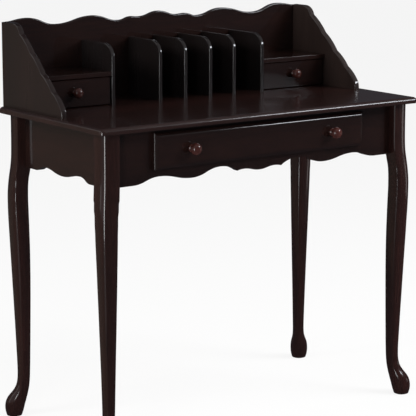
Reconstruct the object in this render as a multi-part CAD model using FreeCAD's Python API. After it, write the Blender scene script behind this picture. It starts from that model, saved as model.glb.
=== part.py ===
import FreeCAD, Part
import os
from math import atan2, cos, pi, sin, sqrt

V = FreeCAD.Vector
full_turn = 360
os.makedirs("parts", exist_ok=True)

# Desktop, the board that everything else is measured from
desk_width = 930.0
desk_depth = 452.0
desk_height = 760.0
top_thickness = 15.0
top_corner_radius = 8.0
top_upper_round = 6.0
top_lower_round = 2.0
top_round_steps = 3

# Legs: a square block above, a cabriole curve and a pad foot below
leg_block = 43.5
leg_block_length = 105.0
leg_overhang = 17.0

# Aprons between the leg blocks
apron_thickness = 15.0
apron_recess = 21.0
apron_height = 126.0
rear_apron_height = 108.0
front_scallop = 20.0
side_scallop = 12.0

# Corner blocks, each with a hanger bolt into the leg and a screw into the desktop
block_thickness = 22.0
block_height = 80.0
block_leg_gap = 2.0
bolt_radius = 3.0
bolt_grip = 28.0
bolt_tail = 9.0
bolt_drop = 40.0
nut_across_flats = 10.0
nut_thickness = 5.0
block_screw_radius = 2.5
block_screw_head = 8.0
block_screw_head_height = 4.0
block_screw_bite = 9.0
block_screw_offset = 14.0

# Main drawer
drawer_end_margin = 96.0
drawer_face_height = 84.0
drawer_face_drop = 10.0
drawer_face_thickness = 16.0
drawer_face_gap = 0.5
face_edge_thickness = 12.0
face_border = 10.5
field_step = 1.2
opening_lap = 14.0
opening_top_lap = 5.0
box_side_gap = 2.0
box_top_gap = 8.0
box_bottom_gap = 2.0
box_wall = 12.0
box_rear_space = 40.0
drawer_held = 80.0
panel_thickness = 4.0
groove_depth = 6.0
groove_rise = 8.0
groove_play = 0.2

# Runners, kickers and stop that guide the main drawer
running_gap = 0.4
guide_gap = 0.8
runner_ledge = 12.0
runner_guide = 18.0
runner_guide_height = 45.0
kicker_width = 18.0
stop_width = 60.0
stop_thickness = 15.0
stop_overlap = 10.0
stop_gap = 0.5

# Turned knobs
knob_radius = 14.0
knob_reach = 28.0
knob_spread_share = 0.672
small_knob_radius = 12.5
small_knob_reach = 23.0
knob_screw_radius = 2.0
knob_screw_head = 7.0
knob_screw_head_thickness = 2.4
knob_screw_bite = 10.0

# Hutch that stands on the desktop
hutch_inset = 21.0
hutch_board = 15.0
hutch_side_depth = 254.0
hutch_side_height = 200.0
side_edge_round = 3.5
back_thickness = 11.0
back_height = 205.0
back_scallop = 19.0
back_edge_round = 3.0
square_edge = 0.0
divider_thickness = 10.0
divider_depth = 134.0
divider_height = 145.0
divider_corner_radius = 35.0
divider_edge_round = 3.5
cabinet_width = 200.0
shelf_thickness = 11.0
shelf_rise = 80.0
shelf_setback = 2.0
shelf_edge_round = 2.5
shelf_housing_depth = 3.0
edge_steps = 2
back_edge_steps = 1

# Small drawers under the shelves
small_setback = 3.0
small_front_thickness = 12.0
small_front_gap = 1.5
small_wall = 8.0
small_back_gap = 0.5
small_box_drop = 12.0
small_panel_thickness = 3.0
small_groove_depth = 4.0
small_groove_rise = 4.0
small_knob_drop_share = 0.47
small_front_round = 1.5

# Dowels and clearances
pilot_gap = 0.1
dowel_radius = 4.0
dowel_bite = 10.0
overrun = 5.0

# Levels and faces that several pieces share
half_width = desk_width / 2
half_depth = desk_depth / 2
underside = desk_height - top_thickness
leg_x = half_width - leg_overhang - leg_block / 2
leg_y = half_depth - leg_overhang - leg_block / 2
apron_half_length = leg_x - leg_block / 2
side_apron_half_length = leg_y - leg_block / 2
apron_front = -half_depth + leg_overhang + apron_recess
apron_inner_y = -apron_front - apron_thickness
side_apron_face = half_width - leg_overhang - apron_recess
side_apron_inner = side_apron_face - apron_thickness

face_half_width = apron_half_length - drawer_end_margin
face_top = underside - drawer_face_drop
face_bottom = face_top - drawer_face_height
face_back = apron_front - drawer_face_gap
face_front = face_back - drawer_face_thickness
opening_half_width = face_half_width - opening_lap
opening_top = face_top - opening_top_lap
opening_bottom = face_bottom + opening_top_lap
box_half_width = opening_half_width - box_side_gap
box_inner = box_half_width - box_wall
box_top = opening_top - box_top_gap
box_bottom = opening_bottom + box_bottom_gap
box_rear = apron_inner_y - box_rear_space
box_back_front = box_rear - box_wall
drawer_travel = box_rear - face_back - drawer_held
knob_level = (face_top + face_bottom) / 2
main_knob_x = face_half_width * knob_spread_share

hutch_half_width = half_width - hutch_inset
hutch_inner = hutch_half_width - hutch_board
divider_front = half_depth - divider_depth
outer_divider_x = hutch_inner - cabinet_width - divider_thickness / 2
cabinet_x = hutch_inner - cabinet_width / 2
shelf_top = desk_height + shelf_rise
shelf_underside = shelf_top - shelf_thickness
shelf_front = divider_front + shelf_setback
small_face = shelf_front + small_setback
small_box_front = small_face + small_front_thickness
small_box_rear = half_depth - small_back_gap
small_half_width = cabinet_width / 2 - small_front_gap
small_inner = small_half_width - small_wall
small_bottom = desk_height + running_gap
small_front_top = shelf_underside - small_front_gap
small_front_bottom = desk_height + small_front_gap
small_box_top = small_front_top - small_box_drop
small_knob_level = small_front_top - small_knob_drop_share * (small_front_top - small_front_bottom)

# The part's own origin is the middle of its box on the floor
foremost = min(-half_depth, face_front - knob_reach)
rearmost = half_depth + back_thickness
centre_shift = V(0, -(foremost + rearmost) / 2, 0)


def keep(name, shape):
    """Write one piece in the part's own frame."""
    placed = shape.copy()
    placed.translate(centre_shift)
    placed.exportStep("parts/" + name + ".step")


def board(x_low, x_high, y_low, y_high, z_low, z_high):
    corner = V(x_low, y_low, z_low)
    return Part.makeBox(x_high - x_low, y_high - y_low, z_high - z_low, corner)


def mirrored(shape, across_x=False, across_y=False):
    """The same piece on the other side of the desk."""
    if across_x:
        shape = shape.mirror(V(0, 0, 0), V(1, 0, 0))
    if across_y:
        shape = shape.mirror(V(0, 0, 0), V(0, 1, 0))
    return shape


def all_corners(shape):
    """The same fitting at all four corners of the desk."""
    pair = [shape, mirrored(shape, True)]
    return Part.makeCompound(pair + [mirrored(fitting, across_y=True) for fitting in pair])


def flat_face(corners):
    return Part.Face(Part.makePolygon(list(corners) + [corners[0]]))


def near(value, target):
    return abs(value - target) < pilot_gap


def level_arc(start, end, place):
    """An arc that runs level at its start and ends at the other point."""
    run, rise = end[0] - start[0], end[1] - start[1]
    radius = (run * run + rise * rise) / (2 * abs(rise))
    half_turn = atan2(abs(rise), abs(run))
    forward = run / abs(run)
    upward = rise / abs(rise)
    middle = (start[0] + forward * radius * sin(half_turn),
              start[1] + upward * radius * (1 - cos(half_turn)))
    return Part.Arc(place(*start), place(*middle), place(*end)).toShape()


def scallops(points, place):
    """A wavy edge through (place, height, kind) points; a wave is level at each point but a cusp."""
    edges = []
    for (u, z, kind), (next_u, next_z, next_kind) in zip(points, points[1:]):
        start, end = (u, z), (next_u, next_z)
        if near(z, next_z):
            edges.append(Part.LineSegment(place(*start), place(*end)).toShape())
        elif next_kind == "cusp":
            edges.append(level_arc(start, end, place))
        elif kind == "cusp":
            edges.append(level_arc(end, start, place))
        else:
            middle = ((u + next_u) / 2, (z + next_z) / 2)
            edges += [level_arc(start, middle, place), level_arc(end, middle, place)]
    return edges


def scalloped_outline(half_length, straight_z, wave_points, place):
    """An outline with one straight edge and one wavy edge, alike on both sides of its middle."""
    right = scallops(wave_points, place)
    left = scallops([(-u, z, kind) for u, z, kind in wave_points], place)
    end_z = wave_points[-1][1]
    ends = [(-half_length, end_z), (-half_length, straight_z),
            (half_length, straight_z), (half_length, end_z)]
    sides = [Part.LineSegment(place(*p), place(*q)).toShape() for p, q in zip(ends, ends[1:])]
    return Part.Wire(Part.__sortEdges__(right + left + sides))


def quarter_turns(steps):
    return [pi * step / (2 * steps) for step in range(steps + 1)]


def eased_stations(thickness, first_round, last_round, steps):
    """Pairs across a board: how far its outline is drawn in for the rounding, and where."""
    bends = [(1 - sin(turn), 1 - cos(turn)) for turn in quarter_turns(steps)]
    first = [(first_round * inwards, first_round * along) for inwards, along in bends]
    last = [(last_round * inwards, thickness - last_round * along) for inwards, along in reversed(bends)]
    return first + (last if last_round else last[:1])


def eased_board(outline, start, thickness, first_round, last_round, steps):
    """A board lofted through one outline(draw_in, place), drawn in where its edges are round."""
    stations = eased_stations(thickness, first_round, last_round, steps)
    return Part.makeLoft([outline(draw_in, start + along) for draw_in, along in stations], True, True)


# Desktop
# One board with eased corners, a large rounding above and a small one below.
def desktop_outline(draw_in, z):
    x, y, r = half_width - draw_in, half_depth - draw_in, top_corner_radius
    cut_back = r * (1 - 1 / sqrt(2))
    edges = []
    for sign_x, sign_y in ((1, -1), (1, 1), (-1, 1), (-1, -1)):
        beside = V(sign_x * (x - r), sign_y * y, z)
        above = V(sign_x * x, sign_y * (y - r), z)
        bend = V(sign_x * (x - cut_back), sign_y * (y - cut_back), z)
        edges.append(Part.Arc(beside, bend, above).toShape())
        edges.append(Part.LineSegment(above, V(sign_x * x, 0, z)).toShape())
        edges.append(Part.LineSegment(beside, V(0, sign_y * y, z)).toShape())
    return Part.Wire(Part.__sortEdges__(edges))


def desktop():
    return eased_board(desktop_outline, underside, top_thickness,
                       top_lower_round, top_upper_round, top_round_steps)


# Legs
# Each station: share of the curve's height, then shares of the block for the outward throw,
# the width and the rounding of the outer, side and inner corners.
leg_station_shares = (
    (1.000, 0.000, 1.000, 0.410, 0.060, 0.060),
    (0.937, 0.092, 1.000, 0.390, 0.062, 0.360),
    (0.865, 0.165, 0.975, 0.325, 0.175, 0.295),
    (0.720, 0.137, 0.905, 0.225, 0.250, 0.225),
    (0.530, 0.098, 0.812, 0.190, 0.245, 0.185),
    (0.340, 0.075, 0.665, 0.165, 0.202, 0.158),
    (0.190, 0.067, 0.568, 0.150, 0.170, 0.143),
    (0.135, 0.082, 0.546, 0.143, 0.150, 0.143),
    (0.097, 0.175, 0.668, 0.180, 0.205, 0.160),
    (0.070, 0.323, 0.905, 0.295, 0.334, 0.177),
    (0.053, 0.445, 1.045, 0.455, 0.495, 0.170),
    (0.025, 0.474, 0.980, 0.435, 0.465, 0.280),
    (0.000, 0.468, 0.864, 0.405, 0.405, 0.405),
)
curve_top = underside - leg_block_length
corner_steps = 2


def leg_section(z, throw, width, outer, side, inner):
    """A square section around the rear right leg's axis, thrown outwards, with rounded corners."""
    middle = V(leg_x + throw, leg_y + throw, z)
    ways = [V(1, 0, 0), V(0, 1, 0), V(-1, 0, 0), V(0, -1, 0)]
    points = []
    for turn, radius in enumerate((side, outer, side, inner)):
        arriving, leaving = ways[turn], ways[(turn + 1) % len(ways)]
        centre = middle + (arriving - leaving) * (width / 2) + (leaving - arriving) * radius
        for angle in quarter_turns(corner_steps):
            points.append(centre + arriving * (radius * sin(angle)) - leaving * (radius * cos(angle)))
    return Part.makePolygon(points + points[:1])


def cabriole_leg():
    """The rear right leg: its square block and the curve below it."""
    sections = []
    for height_share, *shares in leg_station_shares:
        sections.append(leg_section(height_share * curve_top, *[share * leg_block for share in shares]))
    block = Part.Face(sections[0]).extrude(V(0, 0, leg_block_length))
    curve = Part.makeLoft(sections, True, True)
    return block.fuse(curve)


# Corner blocks
# A block across each inside corner, between the aprons, with a hanger bolt into the leg.
def corner_frame():
    """The outside corner of the rear right leg and the unit step from there into the desk."""
    corner = V(leg_x + leg_block / 2, leg_y + leg_block / 2, 0)
    return corner, V(-1, -1, 0) * (1 / sqrt(2))


apron_inset = apron_recess + apron_thickness
block_near_sum = 2 * leg_block + block_leg_gap * sqrt(2)
block_far_sum = block_near_sum + block_thickness * sqrt(2)
block_face_distance = block_far_sum / sqrt(2)
bolt_level = underside - bolt_drop


def along_diagonal(distance, z):
    corner, inwards = corner_frame()
    return V(corner.x, corner.y, z) + inwards * distance


def corner_bolt(play=0):
    """The rear right bolt: from inside the leg block to past the nut."""
    start = leg_block * sqrt(2) - bolt_grip
    length = block_face_distance + bolt_tail - start
    tip = along_diagonal(start - play, bolt_level)
    return Part.makeCylinder(bolt_radius + play, length, tip, corner_frame()[1])


def hexagon(centre, axis, upright, across_flats):
    """A six-sided outline around an axis, with one corner on the upright."""
    corner = upright * (across_flats / sqrt(3))
    sides = 6
    turns = [FreeCAD.Rotation(axis, full_turn * side / sides).multVec(corner) for side in range(sides)]
    return flat_face([centre + turn for turn in turns])


def corner_nut():
    inwards = corner_frame()[1]
    seat = along_diagonal(block_face_distance, bolt_level)
    outline = hexagon(seat, inwards, V(0, 0, 1), nut_across_flats)
    return outline.extrude(inwards * nut_thickness)


def corner_screw():
    """A hexagon-headed screw beside the bolt, up through the rear right block into the desktop."""
    middle = along_diagonal((block_near_sum + block_far_sum) / (2 * sqrt(2)), underside - block_height)
    seat = middle + V(1, -1, 0) * (block_screw_offset / sqrt(2))
    shank = Part.makeCylinder(block_screw_radius, block_height + block_screw_bite, seat)
    head = hexagon(seat, V(0, 0, 1), V(1, 0, 0), block_screw_head)
    return shank.fuse(head.extrude(V(0, 0, -block_screw_head_height)))


def corner_block():
    """The rear right block: it meets both aprons and stays clear of the leg."""
    corner = corner_frame()[0]
    near_reach = block_near_sum - apron_inset
    far_reach = block_far_sum - apron_inset
    plan = [(near_reach, apron_inset), (far_reach, apron_inset),
            (apron_inset, far_reach), (apron_inset, near_reach)]
    points = [V(corner.x - a, corner.y - b, underside - block_height) for a, b in plan]
    block = Part.Face(Part.makePolygon(points + points[:1])).extrude(V(0, 0, block_height))
    return block.cut(corner_bolt(pilot_gap))


# Aprons
# The scallops: share of the half length, share of the scallop's height, and the kind of point.
front_scallop_shares = (
    (0.000, 0.07, "level"), (0.112, 0.38, "level"), (0.160, 0.25, "cusp"), (0.279, 1.00, "level"),
    (0.481, 0.09, "level"), (0.707, 0.72, "level"), (0.885, 0.00, "level"), (1.000, 0.00, "level"))
side_scallop_shares = (
    (0.00, 0.125, "level"), (0.47, 1.00, "level"), (0.71, 0.00, "level"), (1.00, 0.00, "level"))
back_scallop_shares = (
    (0.000, 0.92, "level"), (0.129, 0.33, "level"), (0.182, 0.41, "level"), (0.264, 0.02, "level"),
    (0.438, 0.82, "level"), (0.667, 0.00, "level"), (0.853, 1.00, "level"), (1.000, 0.64, "level"))


def wave(shares, half_length, low_z, height):
    return [(share * half_length, low_z + rise * height, kind) for share, rise, kind in shares]


def front_apron():
    points = wave(front_scallop_shares, apron_half_length, underside - apron_height, front_scallop)
    outline = scalloped_outline(apron_half_length, underside, points, lambda u, z: V(u, apron_front, z))
    apron = Part.Face(outline).extrude(V(0, apron_thickness, 0))
    opening = board(-opening_half_width, opening_half_width, apron_front - overrun,
                    apron_front + apron_thickness + overrun, opening_bottom, opening_top)
    return apron.cut(opening)


def right_apron():
    points = wave(side_scallop_shares, side_apron_half_length, underside - apron_height, side_scallop)
    outline = scalloped_outline(side_apron_half_length, underside, points,
                                lambda u, z: V(side_apron_inner, u, z))
    return Part.Face(outline).extrude(V(apron_thickness, 0, 0))


def rear_apron():
    return board(-apron_half_length, apron_half_length, apron_inner_y, apron_inner_y + apron_thickness,
                 underside - rear_apron_height, underside)


# Drawer guides
def right_runner():
    """A ledge under the drawer's side and a guide beside it, from apron to apron."""
    ledge_top = box_bottom - running_gap
    guide_x = box_half_width + guide_gap
    ledge = board(guide_x - runner_ledge, guide_x + runner_guide, -apron_inner_y, apron_inner_y,
                  ledge_top - runner_ledge, ledge_top)
    guide = board(guide_x, guide_x + runner_guide, -apron_inner_y, apron_inner_y,
                  ledge_top, ledge_top + runner_guide_height)
    return ledge.fuse(guide).removeSplitter()


def right_kicker():
    """A strip above the drawer's side that keeps the open drawer level."""
    return board(box_inner, box_inner + kicker_width, -apron_inner_y, apron_inner_y,
                 box_top + running_gap, underside)


def drawer_stop():
    """A block under the desktop that the drawer's back meets when the drawer is fully open."""
    rear = box_back_front - drawer_travel - stop_gap
    return board(-stop_width / 2, stop_width / 2, rear - stop_thickness, rear,
                 box_top - stop_overlap, underside)


# Main drawer
def drawer_face():
    """A flat field with a small step and a mitred sloping border down to thinner edges."""
    edge_front = face_back - face_edge_thickness
    slab = board(-face_half_width, face_half_width, edge_front, face_back, face_bottom, face_top)
    inner_x = face_half_width - face_border
    inner_top, inner_bottom = face_top - face_border, face_bottom + face_border
    step_front = face_front + field_step

    def frame(x, low, high, y):
        corners = [V(-x, y, low), V(x, y, low), V(x, y, high), V(-x, y, high)]
        return Part.makePolygon(corners + corners[:1])

    slope = Part.makeLoft([frame(face_half_width, face_bottom, face_top, edge_front),
                           frame(inner_x, inner_bottom, inner_top, step_front)], True, True)
    field = board(-inner_x, inner_x, face_front, step_front, inner_bottom, inner_top)
    face = slab.fuse([slope, field]).removeSplitter()
    return face.cut(Part.makeCompound(main_knob_screws(pilot_gap)))


def main_knob_screws(play=0):
    seat_y = face_back + box_wall
    length = box_wall + drawer_face_thickness + knob_screw_bite
    return [knob_screw(sign * main_knob_x, seat_y, knob_level, length, play) for sign in (-1, 1)]


def knob_screw(x, y, z, length, play=0):
    """A hexagon head against the inside of the drawer and a shank through to the knob."""
    shank = Part.makeCylinder(knob_screw_radius + play, length + play, V(x, y, z), V(0, -1, 0))
    head = hexagon(V(x, y, z), V(0, 1, 0), V(0, 0, 1), knob_screw_head)
    return shank.fuse(head.extrude(V(0, knob_screw_head_thickness, 0)))


def drawer_box_front():
    wall = board(-box_inner, box_inner, face_back, face_back + box_wall, box_bottom, box_top)
    return wall.cut(Part.makeCompound([drawer_groove()] + main_knob_screws(pilot_gap)))


def drawer_groove():
    """The space that the bottom panel slides into, as one block."""
    reach = box_inner + groove_depth
    floor = box_bottom + groove_rise
    return board(-reach, reach, face_back + box_wall - groove_depth, box_rear + overrun,
                 floor, floor + panel_thickness + groove_play)


def drawer_bottom():
    reach = box_inner + groove_depth - groove_play
    floor = box_bottom + groove_rise
    return board(-reach, reach, face_back + box_wall - groove_depth + groove_play, box_rear,
                 floor, floor + panel_thickness)


def drawer_right_side():
    side = board(box_inner, box_half_width, face_back, box_rear, box_bottom, box_top)
    return side.cut(drawer_groove())


def drawer_back():
    """It stands on the bottom panel, which runs out under it."""
    return board(-box_inner, box_inner, box_back_front, box_rear,
                 box_bottom + groove_rise + panel_thickness, box_top)


# Knobs
# The turned outline from the seat to the tip: share of the radius, share of the reach.
knob_shares = ((0.66, 0.00), (0.66, 0.10), (0.46, 0.19), (0.45, 0.32), (0.85, 0.43),
               (1.00, 0.59), (0.90, 0.80), (0.60, 0.95), (0.25, 1.00))
knob_flats = 18


def turned_knob(x, y, z, radius, reach):
    """A base disc, a neck and a flattened ball about the Y axis, in narrow flats."""
    turns = [FreeCAD.Rotation(V(0, 1, 0), full_turn * (flat % knob_flats) / knob_flats)
             for flat in range(knob_flats + 1)]
    rings = [[V(x, y - depth * reach, z) + turn.multVec(V(out * radius, 0, 0)) for turn in turns]
             for out, depth in knob_shares]
    flats = [flat_face(rings[0][:-1]), flat_face(rings[-1][:-1])]
    for ring, next_ring in zip(rings, rings[1:]):
        sides = zip(ring, ring[1:], next_ring[1:], next_ring)
        flats += [flat_face(corners) for corners in sides]
    shell = Part.makeShell(flats)
    shell.sewShape()
    return Part.makeSolid(shell)


# Hutch
divider_place_shares = (0.0, 0.305, 0.472, 0.641, 0.804, 1.0)
divider_places = [outer_divider_x * (2 * share - 1) for share in divider_place_shares]
side_dowel_shares = (0.33, 0.85)


def hutch_dowels():
    """Two dowels under each hutch side, half in the desktop."""
    side_x = hutch_half_width - hutch_board / 2
    feet = [V(sign * side_x, half_depth - share * hutch_side_depth, desk_height - dowel_bite)
            for sign in (-1, 1) for share in side_dowel_shares]
    return [Part.makeCylinder(dowel_radius, 2 * dowel_bite, foot) for foot in feet]


# Front edge of a side: share of the depth from the rear, share of the height; cusps between lobes.
side_cusp_shares = ((0.280, 0.887), (0.472, 0.676), (0.657, 0.461), (0.831, 0.279), (0.983, 0.108))
side_flat_share = 0.157
lobe_bulge = 3.0


def lobe(start, end, bulge):
    """A shallow arc that swells up and forwards between two points."""
    chord = end - start
    outwards = V(0, chord.z, -chord.y) * (1 / chord.Length)
    middle = (start + end) * 0.5 + outwards * bulge
    return Part.Arc(start, middle, end).toShape()


def right_hutch_side():
    side = eased_board(hutch_side_outline, hutch_inner, hutch_board,
                       side_edge_round, side_edge_round, edge_steps)
    return side.cut(shelf_housing())


def hutch_side_outline(draw_in, x):
    """The right side's outline with its top and front edges drawn in."""
    def at(depth_share, height_share, shift=(0, 0)):
        return V(x, half_depth - depth_share * hutch_side_depth + shift[0] * draw_in,
                 desk_height + height_share * hutch_side_height - shift[1] * draw_in)

    rear_foot, rear_top = at(0, 0), at(0, 1, (0, 1))
    flat_end = at(side_flat_share, 1, (0, 1))
    front_foot = at(1, 0, (1, 0))
    slant = 1 / sqrt(2)
    cusps = [at(*shares, (slant, slant)) for shares in side_cusp_shares]
    straight = [Part.LineSegment(front_foot, rear_foot).toShape(),
                Part.LineSegment(rear_foot, rear_top).toShape(),
                Part.LineSegment(rear_top, flat_end).toShape()]
    shoulder = [level_arc((flat_end.y, flat_end.z), (cusps[0].y, cusps[0].z), lambda y, z: V(x, y, z))]
    lobes = [lobe(start, end, lobe_bulge) for start, end in zip(cusps, cusps[1:])]
    lobes.append(lobe(cusps[-1], front_foot, lobe_bulge / 2))
    return Part.Wire(straight + shoulder + lobes)


def hutch_back_outline(draw_in, y):
    """The back's outline with its scalloped edge lowered."""
    low = desk_height + back_height - back_scallop - draw_in
    points = wave(back_scallop_shares, hutch_half_width, low, back_scallop)
    return scalloped_outline(hutch_half_width, underside, points, lambda u, z: V(u, y, z))


def hutch_back():
    """A scalloped board across the rear of both sides, down over the desktop's rear edge."""
    return eased_board(hutch_back_outline, half_depth, back_thickness,
                       back_edge_round, square_edge, back_edge_steps)


def divider_outline(draw_in, x):
    """An upright with one large rounded corner, its front and top drawn in."""
    front, top = divider_front + draw_in, desk_height + divider_height - draw_in
    centre = V(x, divider_front + divider_corner_radius, top + draw_in - divider_corner_radius)
    radius = divider_corner_radius - draw_in
    bend = centre + V(0, -1, 1) * (radius / sqrt(2))
    corner_start, corner_end = V(x, front, centre.z), V(x, centre.y, top)
    front_foot, rear_foot = V(x, front, desk_height), V(x, half_depth, desk_height)
    rear_top = V(x, half_depth, top)
    return Part.Wire([
        Part.LineSegment(front_foot, corner_start).toShape(),
        Part.Arc(corner_start, bend, corner_end).toShape(),
        Part.LineSegment(corner_end, rear_top).toShape(),
        Part.LineSegment(rear_top, rear_foot).toShape(),
        Part.LineSegment(rear_foot, front_foot).toShape(),
    ])


def divider(x):
    """An upright between two letter slots; the two outermost carry the shelves' inner ends."""
    upright = eased_board(divider_outline, x - divider_thickness / 2, divider_thickness,
                          divider_edge_round, divider_edge_round, edge_steps)
    housings = [shelf_housing(), mirrored(shelf_housing(), True)]
    return upright.cut(Part.makeCompound(housings))


# Shelves
def shelf_housing():
    """The shallow grooves that both ends of the right shelf sit in, with the shelf's own thickness."""
    return board(hutch_inner - cabinet_width - shelf_housing_depth, hutch_inner + shelf_housing_depth,
                 shelf_front, half_depth, shelf_underside, shelf_top)


def shelf_outline(draw_in, z):
    """The right shelf's outline with its front edge drawn in."""
    inner, outer = hutch_inner - cabinet_width - shelf_housing_depth, hutch_inner + shelf_housing_depth
    front = shelf_front + draw_in
    corners = [V(inner, front, z), V(outer, front, z), V(outer, half_depth, z), V(inner, half_depth, z)]
    return Part.makePolygon(corners + corners[:1])


def right_shelf():
    return eased_board(shelf_outline, shelf_underside, shelf_thickness,
                       shelf_edge_round, shelf_edge_round, edge_steps)


# Small drawers
def small_groove(x):
    reach = small_inner + small_groove_depth
    floor = small_bottom + small_groove_rise
    return board(x - reach, x + reach, small_box_front - small_groove_depth, small_box_rear + overrun,
                 floor, floor + small_panel_thickness + groove_play)


def small_screw(x, play=0):
    length = small_front_thickness + knob_screw_bite
    return knob_screw(x, small_box_front, small_knob_level, length, play)


def small_front(x):
    def outline(draw_in, y):
        left, right = x - small_half_width + draw_in, x + small_half_width - draw_in
        low, high = small_front_bottom + draw_in, small_front_top - draw_in
        corners = [V(left, y, low), V(right, y, low), V(right, y, high), V(left, y, high)]
        return Part.makePolygon(corners + corners[:1])

    stages = [outline(small_front_round, small_face), outline(0, small_face + small_front_round),
              outline(0, small_box_front)]
    front = Part.makeLoft(stages, True, True)
    return front.cut(Part.makeCompound([small_groove(x), small_screw(x, pilot_gap)]))


def small_side(x, sign):
    ends = sorted((x + sign * small_inner, x + sign * small_half_width))
    side = board(ends[0], ends[1], small_box_front, small_box_rear, small_bottom, small_box_top)
    return side.cut(small_groove(x))


def small_back(x):
    return board(x - small_inner, x + small_inner, small_box_rear - small_wall, small_box_rear,
                 small_bottom + small_groove_rise + small_panel_thickness, small_box_top)


def small_panel(x):
    reach = small_inner + small_groove_depth - groove_play
    floor = small_bottom + small_groove_rise
    return board(x - reach, x + reach, small_box_front - small_groove_depth + groove_play, small_box_rear,
                 floor, floor + small_panel_thickness)


# Build the table
keep("desktop", desktop())
leg = cabriole_leg()
keep("rear_right_leg", leg)
keep("rear_left_leg", mirrored(leg, True))
keep("front_right_leg", mirrored(leg, False, True))
keep("front_left_leg", mirrored(leg, True, True))
keep("corner_blocks", all_corners(corner_block()))
keep("hanger_bolts", all_corners(corner_bolt()))
keep("bolt_nuts", all_corners(corner_nut()))
keep("desktop_screws", all_corners(corner_screw()))
keep("front_apron", front_apron())
keep("rear_apron", rear_apron())
keep("drawer_stop", drawer_stop())
for side_name, at_left in (("right", False), ("left", True)):
    keep(side_name + "_apron", mirrored(right_apron(), at_left))
    keep(side_name + "_runner", mirrored(right_runner(), at_left))
    keep(side_name + "_kicker", mirrored(right_kicker(), at_left))

# Build the main drawer
keep("drawer_face", drawer_face())
keep("drawer_box_front", drawer_box_front())
keep("drawer_back", drawer_back())
keep("drawer_bottom", drawer_bottom())
keep("drawer_knob_screws", Part.makeCompound(main_knob_screws()))
keep("drawer_right_side", drawer_right_side())
keep("drawer_left_side", mirrored(drawer_right_side(), True))
keep("drawer_knobs", Part.makeCompound([
    turned_knob(knob_x, face_front, knob_level, knob_radius, knob_reach)
    for knob_x in (-main_knob_x, main_knob_x)]))

# Build the hutch
keep("hutch_back", hutch_back())
keep("hutch_dowels", Part.makeCompound(hutch_dowels()))
for number, place in enumerate(divider_places, start=1):
    keep("divider_" + str(number), divider(place))
for side_name, sign in (("right", 1), ("left", -1)):
    keep("hutch_" + side_name + "_side", mirrored(right_hutch_side(), sign < 0))
    keep(side_name + "_shelf", mirrored(right_shelf(), sign < 0))

# Build the small drawers
for side_name, sign in (("right", 1), ("left", -1)):
    middle_x = sign * cabinet_x
    prefix = side_name + "_small_drawer_"
    keep(prefix + "front", small_front(middle_x))
    keep(prefix + "right_side", small_side(middle_x, 1))
    keep(prefix + "left_side", small_side(middle_x, -1))
    keep(prefix + "back", small_back(middle_x))
    keep(prefix + "bottom", small_panel(middle_x))
    keep(prefix + "screw", small_screw(middle_x))
    keep(prefix + "knob", turned_knob(middle_x, small_face, small_knob_level,
                                      small_knob_radius, small_knob_reach))
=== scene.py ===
import math

import bmesh
import bpy
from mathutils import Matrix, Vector


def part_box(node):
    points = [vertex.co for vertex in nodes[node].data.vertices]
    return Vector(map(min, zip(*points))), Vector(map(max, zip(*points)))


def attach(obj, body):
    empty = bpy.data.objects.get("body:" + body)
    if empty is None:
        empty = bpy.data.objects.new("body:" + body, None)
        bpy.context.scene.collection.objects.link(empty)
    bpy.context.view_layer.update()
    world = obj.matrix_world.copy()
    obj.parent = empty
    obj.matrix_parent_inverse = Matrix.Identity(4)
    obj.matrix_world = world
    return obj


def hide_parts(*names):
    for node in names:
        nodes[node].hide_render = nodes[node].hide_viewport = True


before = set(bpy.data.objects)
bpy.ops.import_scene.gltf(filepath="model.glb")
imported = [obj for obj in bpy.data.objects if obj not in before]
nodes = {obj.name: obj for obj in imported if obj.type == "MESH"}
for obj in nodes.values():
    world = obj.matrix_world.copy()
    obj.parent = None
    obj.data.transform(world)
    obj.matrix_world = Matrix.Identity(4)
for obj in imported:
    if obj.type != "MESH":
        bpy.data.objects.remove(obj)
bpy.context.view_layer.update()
bpy.ops.object.select_all(action="DESELECT")

# Desktop
# One solid board, 930 x 452 x 15 mm, with a broad rounding above, a slight one below and eased corners.
# Stained near-black, sprayed with clear gloss lacquer and screwed on through the corner blocks.
half_width = 0.465
half_depth = 0.226
desk_height = 0.760
board_thickness = 0.015
centre_y = -0.00225
corner_radius = 0.0098
top_rounding = 0.009
lower_rounding = 0.002


def linear(hex_colour):
    """The linear colour of an sRGB hex value."""
    channels = [int(hex_colour[i:i + 2], 16) / 255 for i in (1, 3, 5)]
    return [c / 12.92 if c <= 0.04045 else ((c + 0.055) / 1.055) ** 2.4 for c in channels] + [1.0]


def add_node(tree, kind, inputs=None, links=None, **settings):
    """One node with its settings, the values of its sockets and what runs into them."""
    node = tree.nodes.new(kind)
    for key, value in settings.items():
        setattr(node, key, value)
    for socket, value in (inputs or {}).items():
        node.inputs[socket].default_value = value
    for socket, source in (links or {}).items():
        tree.links.new(source, node.inputs[socket])
    return node


def empty_material(name):
    """A material with nothing in it yet."""
    material = bpy.data.materials.new(name)
    material.use_nodes = True
    material.node_tree.nodes.clear()
    return material


# Espresso stain under sprayed gloss lacquer: the eye sees a dark red-brown with hardly any grain, and a
# wet, slightly wavy reflection. Each finish has its own two tones, haze (a dull sheen under the coat) and
# blur (how soft the reflection is). On the top, legs, knobs, right hutch side and dividers the tones are
# painted paler or darker, for the light or shade that falls there.
# Growth lines are drawn 4 mm apart, coarser than real ones, because those would be too fine to show.
growth_spacing = 0.004
cloud_spacing = 0.090
orange_peel_spacing = 0.006
wave_spacing = 0.060
# The lines run twenty times further along a board than across it.
along_x = (0.05, 1.0, 1.0)
# Sockets of a Mix node in colour mode, by number because their names occur twice.
mix_share = 0
mix_first = 6
mix_second = 7
mix_result = 2


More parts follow.
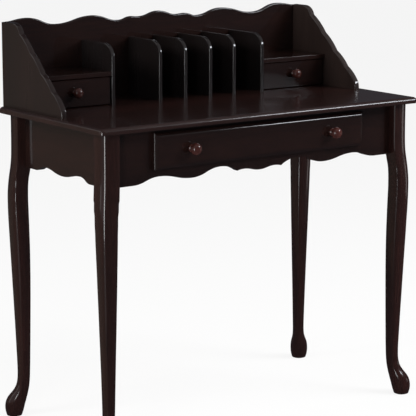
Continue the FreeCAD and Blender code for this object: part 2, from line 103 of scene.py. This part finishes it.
def espresso_lacquer(name, stretch, light="#1f100d", dark="#120908", haze=0.05, blur=0.09):
    """Stained wood under a coat of clear lacquer."""
    material = empty_material(name)
    tree = material.node_tree
    place = add_node(tree, "ShaderNodeTexCoord")
    along = add_node(tree, "ShaderNodeMapping", {"Scale": stretch}, {"Vector": place.outputs["Object"]})
    growth = add_node(tree, "ShaderNodeTexNoise",
                      {"Scale": 1 / growth_spacing, "Detail": 4.0, "Roughness": 0.6, "Distortion": 0.4},
                      {"Vector": along.outputs["Vector"]})
    cloud = add_node(tree, "ShaderNodeTexNoise", {"Scale": 1 / cloud_spacing, "Detail": 2.0},
                     {"Vector": along.outputs["Vector"]})
    both = add_node(tree, "ShaderNodeMath", {}, {0: growth.outputs[0], 1: cloud.outputs[0]},
                    operation="MULTIPLY")
    spread = add_node(tree, "ShaderNodeMapRange", {"From Min": 0.12, "From Max": 0.42},
                      {"Value": both.outputs[0]})
    stain = add_node(tree, "ShaderNodeMix", {mix_first: linear(dark), mix_second: linear(light)},
                     {mix_share: spread.outputs[0]}, data_type="RGBA")
    peel = add_node(tree, "ShaderNodeTexNoise", {"Scale": 1 / orange_peel_spacing, "Detail": 1.0},
                    {"Vector": place.outputs["Object"]})
    waves = add_node(tree, "ShaderNodeTexNoise", {"Scale": 1 / wave_spacing, "Detail": 1.0},
                     {"Vector": along.outputs["Vector"]})
    under_coat = add_node(tree, "ShaderNodeMapRange", {"To Min": 0.42, "To Max": 0.58},
                          {"Value": cloud.outputs[0]})
    wavy = add_node(tree, "ShaderNodeBump", {"Strength": 0.12, "Distance": 0.0006},
                    {"Height": waves.outputs[0]})
    bump = add_node(tree, "ShaderNodeBump", {"Strength": 0.02, "Distance": 0.0002},
                    {"Height": peel.outputs[0], "Normal": wavy.outputs[0]})
    skin = add_node(tree, "ShaderNodeBsdfPrincipled",
                    {"IOR": 1.5, "Specular IOR Level": haze,
                     "Coat Weight": 1.0, "Coat Roughness": blur, "Coat IOR": 1.5},
                    {"Base Color": stain.outputs[mix_result], "Roughness": under_coat.outputs[0],
                     "Normal": bump.outputs[0], "Coat Normal": bump.outputs[0]})
    add_node(tree, "ShaderNodeOutputMaterial", {}, {"Surface": skin.outputs[0]})
    return material


# The top is painted a little paler than the rest, for the light it catches from above; its reflection is
# duller.
lacquer_top = espresso_lacquer("espresso_lacquer_top_painted_paler", along_x,
                               light="#261513", dark="#1c100e", blur=0.19)


def close(a, b, hair=1e-5):
    """True for two places within a hundredth of a millimetre."""
    return abs(a - b) < hair


def both_at(axis, place):
    """A test for edges that have both ends at one place along an axis."""
    return lambda a, b: close(getattr(a, axis), place) and close(getattr(b, axis), place)


def select_edges(piece, wanted):
    """Select the edges whose two ends together pass the test."""
    mesh = bmesh.from_edit_mesh(piece.data)
    for edge in mesh.edges:
        edge.select_set(False)
    for edge in mesh.edges:
        edge.select_set(wanted(edge.verts[0].co, edge.verts[1].co))
    bmesh.update_edit_mesh(piece.data)


def start_board(name, low, high):
    """A block between two corners, open in edit mode with nothing selected."""
    low, high = Vector(low), Vector(high)
    bpy.ops.mesh.primitive_cube_add(size=1, location=(low + high) / 2, scale=high - low)
    piece = bpy.context.object
    piece.name = name
    bpy.ops.object.transform_apply(location=True, rotation=True, scale=True)
    bpy.ops.object.mode_set(mode="EDIT")
    bpy.ops.mesh.select_mode(type="EDGE")
    bpy.ops.mesh.select_all(action="DESELECT")
    return piece


def finish_piece(piece, material, body, node, smooth_angle):
    """Outward normals, smooth rounded edges and one finish; it rides on its body and stands for its node."""
    if piece.mode == "EDIT":
        bpy.ops.mesh.select_all(action="SELECT")
        bpy.ops.mesh.remove_doubles(threshold=1e-6)
        bpy.ops.mesh.normals_make_consistent(inside=False)
        bpy.ops.object.mode_set(mode="OBJECT")
    bpy.ops.object.shade_smooth_by_angle(angle=math.radians(smooth_angle))
    flats = piece.modifiers.new("flat_faces_shade_flat", "WEIGHTED_NORMAL")
    flats.keep_sharp = True
    bpy.ops.object.modifier_apply(modifier=flats.name)
    piece.data.materials.clear()
    piece.data.materials.append(material)
    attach(piece, body)
    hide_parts(node)
    piece.select_set(False)


top = start_board("desktop_board", (-half_width, centre_y - half_depth, desk_height - board_thickness),
                  (half_width, centre_y + half_depth, desk_height))
select_edges(top, lambda a, b: not close(a.z, b.z))
bpy.ops.mesh.bevel(offset=corner_radius, segments=5, affect="EDGES")
select_edges(top, both_at("z", desk_height))
bpy.ops.mesh.bevel(offset=top_rounding, segments=6, affect="EDGES")
select_edges(top, both_at("z", desk_height - board_thickness))
bpy.ops.mesh.bevel(offset=lower_rounding, segments=3, affect="EDGES")
finish_piece(top, lacquer_top, "desk", "desktop", smooth_angle=30)

# Legs
# Four cabriole legs, each carved from one solid piece of wood: a 44 mm square post, a rounded knee, a slim
# ankle and a pad foot thrown outwards. Each is bolted to a corner block behind the aprons.
post = 0.0435
leg_top = 0.745
leg_x = 0.42625
leg_y = 0.18725
# Height, outward throw, width, and how sharp the outer, side and inner edges are.
leg_stations = (
    (0.6400, 0.0000, 0.0435, 0.25, 0.65, 0.65),
    (0.6150, 0.0025, 0.0437, 0.25, 0.62, 0.45),
    (0.5900, 0.0053, 0.0438, 0.25, 0.55, 0.32),
    (0.5620, 0.0070, 0.0438, 0.27, 0.45, 0.28),
    (0.5300, 0.0072, 0.0436, 0.30, 0.38, 0.30),
    (0.4900, 0.0064, 0.0428, 0.32, 0.34, 0.32),
    (0.4400, 0.0052, 0.0413, 0.34, 0.32, 0.34),
    (0.3800, 0.0041, 0.0393, 0.36, 0.30, 0.36),
    (0.3100, 0.0032, 0.0361, 0.36, 0.28, 0.36),
    (0.2400, 0.0027, 0.0324, 0.36, 0.28, 0.36),
    (0.1700, 0.0023, 0.0290, 0.34, 0.28, 0.36),
    (0.1250, 0.0021, 0.0271, 0.32, 0.28, 0.34),
    (0.0950, 0.0025, 0.0262, 0.30, 0.28, 0.32),
    (0.0750, 0.0049, 0.0284, 0.28, 0.24, 0.32),
    (0.0600, 0.0104, 0.0355, 0.20, 0.14, 0.34),
    (0.0480, 0.0159, 0.0445, 0.10, 0.06, 0.34),
    (0.0340, 0.0194, 0.0490, 0.04, 0.00, 0.30),
    (0.0160, 0.0203, 0.0484, 0.04, 0.00, 0.20),
    (0.0045, 0.0203, 0.0420, 0.04, 0.00, 0.10),
    (0.0000, 0.0203, 0.0385, 0.04, 0.00, 0.05),
)
leg_top_sharpness = 1.0
sole_sharpness = 0.8
# A face looks one way when its normal leans at least this far that way.
squarely = 0.9
along_z = (1.0, 1.0, 0.05)
# The legs are painted redder and paler than a flat board, for the extra light that falls on them.
lacquer_legs = espresso_lacquer("espresso_lacquer_legs_painted_paler", along_z,
                                light="#2b1512", dark="#190c0a", blur=0.14)


def select_faces(piece, wanted):
    """Select the faces whose normal passes the test."""
    mesh = bmesh.from_edit_mesh(piece.data)
    for face in mesh.faces:
        face.select_set(wanted(face.normal))
    bmesh.update_edit_mesh(piece.data)


def crease_between(piece, upper, lower, kind, sharpness):
    """Sharpen one kind of upright edge between two stations of the rear right leg."""
    def wanted(a, b):
        high, low = (a, b) if a.z > b.z else (b, a)
        if not (close(high.z, upper[0]) and close(low.z, lower[0])):
            return False
        x = high.x - leg_x - upper[1]
        y = high.y - centre_y - leg_y - upper[1]
        corner = "outer" if x > 0 and y > 0 else "inner" if x < 0 and y < 0 else "side"
        return corner == kind
    select_edges(piece, wanted)
    bpy.ops.transform.edge_crease(value=sharpness)


def cabriole_leg():
    """The rear right leg, drawn down from its square post station by station."""
    leg = start_board("rear_right_cabriole_leg",
                      (leg_x - post / 2, centre_y + leg_y - post / 2, leg_stations[0][0]),
                      (leg_x + post / 2, centre_y + leg_y + post / 2, leg_top))
    select_faces(leg, lambda normal: normal.z < -squarely)
    for upper, lower in zip(leg_stations, leg_stations[1:]):
        throw = lower[1] - upper[1]
        step = (throw, throw, lower[0] - upper[0])
        narrowing = lower[2] / upper[2]
        bpy.ops.mesh.extrude_region_move(TRANSFORM_OT_translate={"value": step})
        bpy.ops.transform.resize(value=(narrowing, narrowing, 1))
    post_station = (leg_top, 0.0, post) + leg_stations[0][3:]
    for upper, lower in zip((post_station,) + leg_stations, leg_stations):
        for kind, sharpness in zip(("outer", "side", "inner"), lower[3:]):
            crease_between(leg, upper, lower, kind, sharpness)
    for level, sharpness in ((leg_top, leg_top_sharpness), (0, sole_sharpness)):
        select_edges(leg, both_at("z", level))
        bpy.ops.transform.edge_crease(value=sharpness)
    bpy.ops.object.mode_set(mode="OBJECT")
    rounding = leg.modifiers.new("rounding", "SUBSURF")
    rounding.levels = rounding.render_levels = 3
    bpy.ops.object.modifier_apply(modifier=rounding.name)
    return leg


def mirrored_copy(piece, name, flip_x, flip_y):
    """A copy with its own mesh on the other side of the desk, its faces turned outwards again."""
    twin = piece.copy()
    twin.data = piece.data.copy()
    twin.name = name
    bpy.context.scene.collection.objects.link(twin)
    bpy.ops.object.select_all(action="DESELECT")
    bpy.context.view_layer.objects.active = twin
    twin.select_set(True)
    bpy.ops.object.mode_set(mode="EDIT")
    bpy.ops.mesh.select_all(action="SELECT")
    bpy.ops.transform.resize(value=(flip_x, flip_y, 1), center_override=(0, centre_y, 0))
    bpy.ops.mesh.normals_make_consistent(inside=False)
    return twin


rear_right_leg = cabriole_leg()
for corner, flip_x, flip_y in (("front_left", -1, -1), ("front_right", 1, -1), ("rear_left", -1, 1)):
    leg = mirrored_copy(rear_right_leg, corner + "_cabriole_leg", flip_x, flip_y)
    finish_piece(leg, lacquer_legs, "desk", corner + "_leg", smooth_angle=60)
bpy.context.view_layer.objects.active = rear_right_leg
rear_right_leg.select_set(True)
finish_piece(rear_right_leg, lacquer_legs, "desk", "rear_right_leg", smooth_angle=60)

# Aprons
# Boards between the leg posts, glued to the corner blocks, the front and side ones sawn to a scalloped
# lower edge. Stained and lacquered like the rest of the desk, with the grain along each board.
along_y = (1.0, 0.05, 1.0)
lacquer_x = espresso_lacquer("espresso_lacquer_long_grain", along_x)
lacquer_y = espresso_lacquer("espresso_lacquer_cross_grain", along_y)


def refinish(material, *names):
    """Give pieces whose shape is kept their detailed finish."""
    for name in names:
        nodes[name].data.materials.clear()
        nodes[name].data.materials.append(material)


refinish(lacquer_x, "front_apron", "rear_apron")
refinish(lacquer_y, "left_apron", "right_apron")


# Corner blocks and drawer guides
# Planed, unfinished softwood where nobody looks: blocks across the four inside corners, runners under the
# main drawer, kickers above its sides and a stop under the desktop, all glued in place.
def plain_wood(name, stretch, light, dark, line_spacing, roughness):
    """Wood without stain: two tones in soft growth lines that can just be felt."""
    material = empty_material(name)
    tree = material.node_tree
    place = add_node(tree, "ShaderNodeTexCoord")
    along = add_node(tree, "ShaderNodeMapping", {"Scale": stretch}, {"Vector": place.outputs["Object"]})
    growth = add_node(tree, "ShaderNodeTexNoise",
                      {"Scale": 1 / line_spacing, "Detail": 5.0, "Distortion": 0.6},
                      {"Vector": along.outputs["Vector"]})
    lines = add_node(tree, "ShaderNodeMapRange", {"From Min": 0.35, "From Max": 0.65},
                     {"Value": growth.outputs[0]})
    tone = add_node(tree, "ShaderNodeMix", {mix_first: linear(dark), mix_second: linear(light)},
                    {mix_share: lines.outputs[0]}, data_type="RGBA")
    bump = add_node(tree, "ShaderNodeBump", {"Strength": 0.3, "Distance": 0.0003},
                    {"Height": growth.outputs[0]})
    skin = add_node(tree, "ShaderNodeBsdfPrincipled", {"Roughness": roughness, "Specular IOR Level": 0.3},
                    {"Base Color": tone.outputs[mix_result], "Normal": bump.outputs[0]})
    add_node(tree, "ShaderNodeOutputMaterial", {}, {"Surface": skin.outputs[0]})
    return material


# Planed pine: pale straw brown without shine, with growth lines 5 mm apart.
pine_look = {"light": "#b99a72", "dark": "#94724c", "line_spacing": 0.005, "roughness": 0.7}
pine = plain_wood("planed_pine", along_y, **pine_look)
pine_upright = plain_wood("planed_pine_upright", along_z, **pine_look)
refinish(pine, "left_runner", "right_runner", "left_kicker", "right_kicker", "drawer_stop")
refinish(pine_upright, "corner_blocks")

# Bolts, nuts and screws
# Hanger bolts and nuts pull the legs to the corner blocks, and hexagon-headed screws hold the desktop and
# the knobs. Steel, zinc plated in a barrel.
zinc_cloud_spacing = 0.003


# Barrel-plated zinc: a pale grey metal whose faint clouds are now brighter, now duller.
def zinc_plate(name):
    """Bare plated metal with a cloudy shine."""
    material = empty_material(name)
    tree = material.node_tree
    place = add_node(tree, "ShaderNodeTexCoord")
    clouds = add_node(tree, "ShaderNodeTexNoise", {"Scale": 1 / zinc_cloud_spacing, "Detail": 3.0},
                      {"Vector": place.outputs["Object"]})
    tone = add_node(tree, "ShaderNodeMix", {mix_first: linear("#8f9296"), mix_second: linear("#b9bcbf")},
                    {mix_share: clouds.outputs[0]}, data_type="RGBA")
    dull = add_node(tree, "ShaderNodeMapRange", {"To Min": 0.25, "To Max": 0.45},
                    {"Value": clouds.outputs[0]})
    skin = add_node(tree, "ShaderNodeBsdfPrincipled", {"Metallic": 1.0},
                    {"Base Color": tone.outputs[mix_result], "Roughness": dull.outputs[0]})
    add_node(tree, "ShaderNodeOutputMaterial", {}, {"Surface": skin.outputs[0]})
    return material


refinish(zinc_plate("zinc_plated_steel"), "hanger_bolts", "bolt_nuts", "desktop_screws",
         "drawer_knob_screws", "left_small_drawer_screw", "right_small_drawer_screw")

# Main drawer
# A solid lacquered face with a sloping border round a flat field, on a thin wooden box with a hardboard
# bottom let into grooves. The knobs' screws pull the face to the box.
border = 0.0085
rim_thickness = 0.0105
end_gap = 0.0015
field_rounding = 0.0028
rim_rounding = 0.0015
# Pine under thin satin lacquer: a warm brown with lines 6 mm apart.
drawer_look = {"light": "#8a6846", "dark": "#6d4e33", "line_spacing": 0.006, "roughness": 0.45}
drawer_wood = plain_wood("drawer_box_wood", along_y, **drawer_look)
drawer_wood_wide = plain_wood("drawer_box_wood_wide", along_x, **drawer_look)
# Pressed hardboard: dark brown with a fleck 1.5 mm wide that runs no way in particular.
no_way = (1.0, 1.0, 1.0)
hardboard = plain_wood("pressed_hardboard", no_way, "#6b4c34", "#5a3e2a", line_spacing=0.0015, roughness=0.5)
refinish(drawer_wood, "drawer_left_side", "drawer_right_side")
refinish(drawer_wood_wide, "drawer_box_front", "drawer_back")
refinish(hardboard, "drawer_bottom")

face_low, face_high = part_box("drawer_face")
rim_front = face_high.y - rim_thickness
drawer_front = start_board("raised_drawer_front", (face_low.x + end_gap, rim_front, face_low.z),
                           (face_high.x - end_gap, face_high.y, face_high.z))
select_faces(drawer_front, lambda normal: normal.y < -squarely)
bpy.ops.mesh.extrude_region_move(
    TRANSFORM_OT_translate={"value": (0, face_low.y - face_high.y + rim_thickness, 0)})
bpy.ops.transform.resize(value=(1 - 2 * border / (face_high.x - face_low.x - 2 * end_gap), 1,
                                1 - 2 * border / (face_high.z - face_low.z)))
select_edges(drawer_front, both_at("y", face_low.y))
bpy.ops.mesh.bevel(offset=field_rounding, segments=5, affect="EDGES")
select_edges(drawer_front, both_at("y", rim_front))
bpy.ops.mesh.bevel(offset=rim_rounding, segments=3, affect="EDGES")
finish_piece(drawer_front, lacquer_x, "main_drawer", "drawer_face", smooth_angle=25)

# Drawer knobs
# Turned from solid wood: a base disc, a waist and a flattened ball, stained and lacquered.
# Each is pulled on by one screw from inside its drawer.
main_knob_x = 0.207312
main_knob_level = (face_low.z + face_high.z) / 2
main_knob_radius = 0.014
main_knob_reach = 0.028
# The knobs are painted redder and lighter than the boards, for the light their round heads catch.
lacquer_knobs = espresso_lacquer("espresso_lacquer_knobs_painted_lighter", no_way, light="#472420", dark="#2b1512")
# The turned outline from the seat to the tip: share of the radius, share of the reach.
knob_outline = (
    (0.64, 0.00), (0.68, 0.02), (0.68, 0.08), (0.60, 0.12), (0.48, 0.18), (0.45, 0.25),
    (0.48, 0.31), (0.66, 0.36), (0.85, 0.43), (0.96, 0.51), (1.00, 0.60), (0.98, 0.69),
    (0.91, 0.79), (0.78, 0.88), (0.60, 0.945), (0.38, 0.985), (0.16, 1.00),
)


def turned_knob(name, seat, radius, reach, body, node):
    """A disc drawn forwards from its seat, widened and narrowed along the turned outline."""
    bpy.ops.mesh.primitive_circle_add(vertices=32, radius=knob_outline[0][0] * radius, fill_type="NGON",
                                      location=seat, rotation=(math.radians(90), 0, 0))
    knob = bpy.context.object
    knob.name = name
    bpy.ops.object.transform_apply(location=True, rotation=True, scale=True)
    bpy.ops.object.mode_set(mode="EDIT")
    bpy.ops.mesh.select_all(action="SELECT")
    for (width, depth), (next_width, next_depth) in zip(knob_outline, knob_outline[1:]):
        step = (0, -(next_depth - depth) * reach, 0)
        bpy.ops.mesh.extrude_region_move(TRANSFORM_OT_translate={"value": step})
        bpy.ops.transform.resize(value=(next_width / width, 1, next_width / width))
    finish_piece(knob, lacquer_knobs, body, node, smooth_angle=60)


for side, x in (("left", -main_knob_x), ("right", main_knob_x)):
    turned_knob("main_drawer_" + side + "_knob", (x, face_low.y, main_knob_level),
                main_knob_radius, main_knob_reach, "main_drawer", "drawer_knobs")

# Hutch
# Two sides with a serpentine front edge, dowelled and glued to the desktop, and a scalloped back glued
# across their rear edges and the desktop's.
# The right side is painted paler and greyer than the left one, for the light that falls on its inner face.
upright_lacquers = {
    "left": espresso_lacquer("espresso_lacquer_left_upright", along_z, light="#1d110f", haze=0.12),
    "right": espresso_lacquer("espresso_lacquer_right_upright_painted_paler", along_z,
                              light="#302623", dark="#241c1a", haze=0.12),
}
# Plain beech: pale pinkish brown with straight lines 3 mm apart.
beech = plain_wood("beech_dowel", along_z, "#d1ab7d", "#b98f60", line_spacing=0.003, roughness=0.6)


def smooth_copy(node, name, material):
    """The same board with its loose triangles merged, so that its rounded edges shade smoothly."""
    board = nodes[node].copy()
    board.data = nodes[node].data.copy()
    # The copy is a piece of its own, so the marks of the CAD piece come off.
    for key in list(board.keys()):
        del board[key]
    board.parent = None
    board.name = name
    bpy.context.scene.collection.objects.link(board)
    bpy.ops.object.select_all(action="DESELECT")
    bpy.context.view_layer.objects.active = board
    board.select_set(True)
    bpy.ops.object.mode_set(mode="EDIT")
    bpy.ops.mesh.select_all(action="SELECT")
    bpy.ops.mesh.remove_doubles(threshold=1e-6)
    bpy.ops.mesh.dissolve_limited(angle_limit=math.radians(0.3))
    finish_piece(board, material, "desk", node, smooth_angle=40)


for side in ("left", "right"):
    smooth_copy("hutch_" + side + "_side", "hutch_" + side + "_serpentine_side", upright_lacquers[side])
smooth_copy("hutch_back", "hutch_scalloped_back", lacquer_x)
refinish(beech, "hutch_dowels")

# Letter-slot dividers
# Six thin uprights of the same wood, each with one large rounded corner and softened edges, glued to the
# desktop and the back.
corner_sweep = 0.035
edge_rounding = 0.0027
# The dividers are painted near black and grey rather than red, a painted shade for the slots between them.
lacquer_dividers = espresso_lacquer("espresso_lacquer_dividers_painted_shade", along_z,
                                    light="#161313", dark="#151111", haze=0.10)
for number in range(1, 7):
    node = "divider_" + str(number)
    low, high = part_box(node)
    at_front = both_at("y", low.y)
    at_rear = both_at("y", high.y)
    at_foot = both_at("z", low.z)
    at_top = both_at("z", high.z)
    divider = start_board("letter_divider_" + str(number), low, high)
    select_edges(divider, lambda a, b: at_front(a, b) and at_top(a, b))
    bpy.ops.mesh.bevel(offset=corner_sweep, segments=16, affect="EDGES")
    select_edges(divider, lambda a, b: close(a.x, b.x) and not at_foot(a, b) and not at_rear(a, b))
    bpy.ops.mesh.bevel(offset=edge_rounding, segments=5, affect="EDGES")
    finish_piece(divider, lacquer_dividers, "desk", node, smooth_angle=35)

# Shelves
# Short lacquered boards over the small drawers, with their front edges just eased.
# Their ends are housed in grooves in the hutch sides and the outer dividers.
shelf_easing = 0.0009
for side in ("left", "right"):
    node = side + "_shelf"
    low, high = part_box(node)
    at_front = both_at("y", low.y)
    shelf = start_board(side + "_drawer_shelf", low, high)
    select_edges(shelf, lambda a, b: at_front(a, b) and close(a.z, b.z))
    bpy.ops.mesh.bevel(offset=shelf_easing, segments=3, affect="EDGES")
    finish_piece(shelf, lacquer_x, "desk", node, smooth_angle=35)

# Small drawers
# Under each shelf, a lacquered front on a thin wooden box with a hardboard bottom, and one small turned
# knob held by a screw.
small_knob_radius = 0.0125
small_knob_reach = 0.023
for side in ("left", "right"):
    body = side + "_small_drawer"
    refinish(lacquer_x, body + "_front")
    refinish(drawer_wood, body + "_left_side", body + "_right_side")
    refinish(drawer_wood_wide, body + "_back")
    refinish(hardboard, body + "_bottom")
    low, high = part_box(body + "_knob")
    seat = ((low.x + high.x) / 2, high.y, (low.z + high.z) / 2)
    turned_knob(side + "_small_turned_knob", seat, small_knob_radius, small_knob_reach, body, body + "_knob")

# Floor
# A wide sheet of matt white paper that runs out of sight.
# It meets the white surroundings and keeps the desk's soft shadow.
floor_width = 40
# How far the paper is plain white to the eye; the rest of it shows the shadow.
white_share = 0.87


def seen_straight_or_mirrored(tree):
    """One where the eye looks, straight or in a reflection, and nought for the light that things receive."""
    path = add_node(tree, "ShaderNodeLightPath")
    seen = add_node(tree, "ShaderNodeMath", {},
                    {0: path.outputs["Is Camera Ray"], 1: path.outputs["Is Glossy Ray"]},
                    operation="MAXIMUM")
    return add_node(tree, "ShaderNodeMath", {},
                    {0: seen.outputs[0], 1: path.outputs["Is Transmission Ray"]}, operation="MAXIMUM")


bpy.ops.mesh.primitive_plane_add(size=floor_width, location=(0, 0, 0))
floor = bpy.context.object
floor.name = "studio_floor"
# Matt paper: plain white to the eye, with a soft grey where the desk keeps the light off.
paper = empty_material("matt_white_paper")
tree = paper.node_tree
seen = seen_straight_or_mirrored(tree)
share = add_node(tree, "ShaderNodeMath", {1: white_share}, {0: seen.outputs[0]}, operation="MULTIPLY")
matt = add_node(tree, "ShaderNodeBsdfDiffuse", {"Color": linear("#ededed")})
glow = add_node(tree, "ShaderNodeEmission", {"Color": linear("#ffffff"), "Strength": 1.0})
blend = add_node(tree, "ShaderNodeMixShader", {},
                 {0: share.outputs[0], 1: matt.outputs[0], 2: glow.outputs[0]})
add_node(tree, "ShaderNodeOutputMaterial", {}, {"Surface": blend.outputs[0]})
floor.data.materials.append(paper)
floor.select_set(False)

# Flags
# Cards round the set that only reflections see. The dark ones keep the white surroundings out of the flat
# lacquered faces, and the paler ones give those faces and their edges the soft greys that they show.
lying = (0, 0, 0)
across_the_view = (90, 0, 0)
along_the_side = (90, 0, 90)
turned_to_strip = (0, 0, 36)


def felt(name, tone):
    """A card of one even tone, whatever light falls on it."""
    material = empty_material(name)
    tree = material.node_tree
    tint = add_node(tree, "ShaderNodeEmission", {"Color": linear(tone), "Strength": 1.0})
    add_node(tree, "ShaderNodeOutputMaterial", {}, {"Surface": tint.outputs[0]})
    return material


def flag(name, centre, width, height, turn, material):
    """An upright or lying card that lamps, shadows and the camera ignore."""
    bpy.ops.mesh.primitive_plane_add(size=1, location=centre,
                                     rotation=[math.radians(angle) for angle in turn])
    card = bpy.context.object
    card.name = name
    card.scale = (width, height, 1)
    bpy.ops.object.transform_apply(location=True, rotation=True, scale=True)
    card.data.materials.append(material)
    card.visible_camera = card.visible_diffuse = card.visible_shadow = card.visible_transmission = False
    card.select_set(False)


dark_felt = felt("dark_felt", "#3f4045")
grey_felt = felt("warm_grey_felt", "#6a645e")
pale_card = felt("pale_grey_card", "#a2a0a2")
ceiling_card = felt("dull_ceiling_card", "#898889")
flag("rear_flag", (2.2, 3.4, 1.9), 8.0, 3.8, across_the_view, dark_felt)
flag("rear_ceiling_flag", (2.0, 2.0, 3.6), 8.0, 2.8, lying, dark_felt)
flag("front_ceiling_card", (0.45, -2.4, 3.6), 10.1, 6.0, lying, ceiling_card)
flag("left_card", (-4.6, -1.6, 1.8), 7.6, 3.6, along_the_side, pale_card)
flag("right_flag", (5.6, -1.0, 1.8), 9.0, 3.6, along_the_side, dark_felt)
flag("front_flag", (0.4, -5.2, 1.8), 10.6, 3.6, across_the_view, dark_felt)
flag("floor_flag", (0.4, -0.95, 0.001), 10.8, 8.7, lying, dark_felt)
flag("rear_left_floor_flag", (-3.45, 2.6, 0.002), 5.6, 6.5, lying, grey_felt)
flag("rear_left_flag", (-4.2, 5.7, 1.8), 7.0, 3.6, across_the_view, grey_felt)
flag("strip_foot_card", (-1.6, -1.05, 0.002), 1.3, 1.1, turned_to_strip, pale_card)

# Lights
# White surroundings, and two broad boxes up on the right and left that are kept out of reflections.
# Three small ones are there to be mirrored by rounded edges: a strip each side and a weak low box.
bpy.context.scene.view_settings.view_transform = "Standard"
surroundings_strength = 0.35
world = bpy.data.worlds.new("white_studio")
bpy.context.scene.world = world
world.use_nodes = True
tree = world.node_tree
tree.nodes.clear()
seen = seen_straight_or_mirrored(tree)
dim = add_node(tree, "ShaderNodeBackground", {"Color": linear("#ffffff"), "Strength": surroundings_strength})
white = add_node(tree, "ShaderNodeBackground", {"Color": linear("#ffffff"), "Strength": 1.0})
blend = add_node(tree, "ShaderNodeMixShader", {},
                 {0: seen.outputs[0], 1: dim.outputs[0], 2: white.outputs[0]})
add_node(tree, "ShaderNodeOutputWorld", {}, {"Surface": blend.outputs[0]})


def soft_box(name, location, target, size, power, colour, mirrored):
    """A rectangular lamp turned to its target, in metres and watts."""
    lamp = bpy.data.lights.new(name, "AREA")
    lamp.shape = "RECTANGLE"
    lamp.size, lamp.size_y = size
    lamp.energy = power
    lamp.color = colour
    box = bpy.data.objects.new(name, lamp)
    bpy.context.scene.collection.objects.link(box)
    box.location = location
    box.rotation_euler = (Vector(target) - Vector(location)).to_track_quat("-Z", "Y").to_euler()
    box.visible_camera = False
    box.visible_glossy = mirrored


soft_box("key_box", (1.75, -1.45, 2.55), (0.1, 0.0, 0.8), (1.5, 2.2), 66, (1.0, 0.98, 0.96), False)
soft_box("left_box", (-2.6, 0.3, 2.1), (0.2, 0.1, 0.8), (1.0, 0.8), 46, (1.0, 0.97, 0.94), False)
soft_box("left_strip", (-1.75, -1.25, 0.64), (0.0, 0.05, 0.64), (0.40, 1.1), 15, (0.97, 0.99, 1.0), True)
soft_box("low_right_box", (2.3, -1.45, 0.32), (-0.4, -0.2, 0.6), (0.3, 0.55), 1.1, (1.0, 0.95, 0.93), True)
soft_box("right_strip", (1.85, -1.75, 1.85), (0.1, 0.0, 0.85), (0.85, 0.45), 26, (0.90, 0.94, 1.0), True)

# Camera
# A long lens at the front left, slightly above the desk, as in the photograph.
# It is turned to the right and down, with hardly any shift.
lens = bpy.data.cameras.new("photo_camera")
lens.sensor_width = 36.0
lens.lens = 157.13
lens.shift_x = 0.0024
lens.shift_y = -0.0024
camera = bpy.data.objects.new("photo_camera", lens)
bpy.context.scene.collection.objects.link(camera)
camera.location = (-2.5768, -3.5204, 1.3567)
camera.rotation_euler = [math.radians(angle) for angle in (78.889, -0.099, -36.035)]
bpy.context.scene.camera = camera
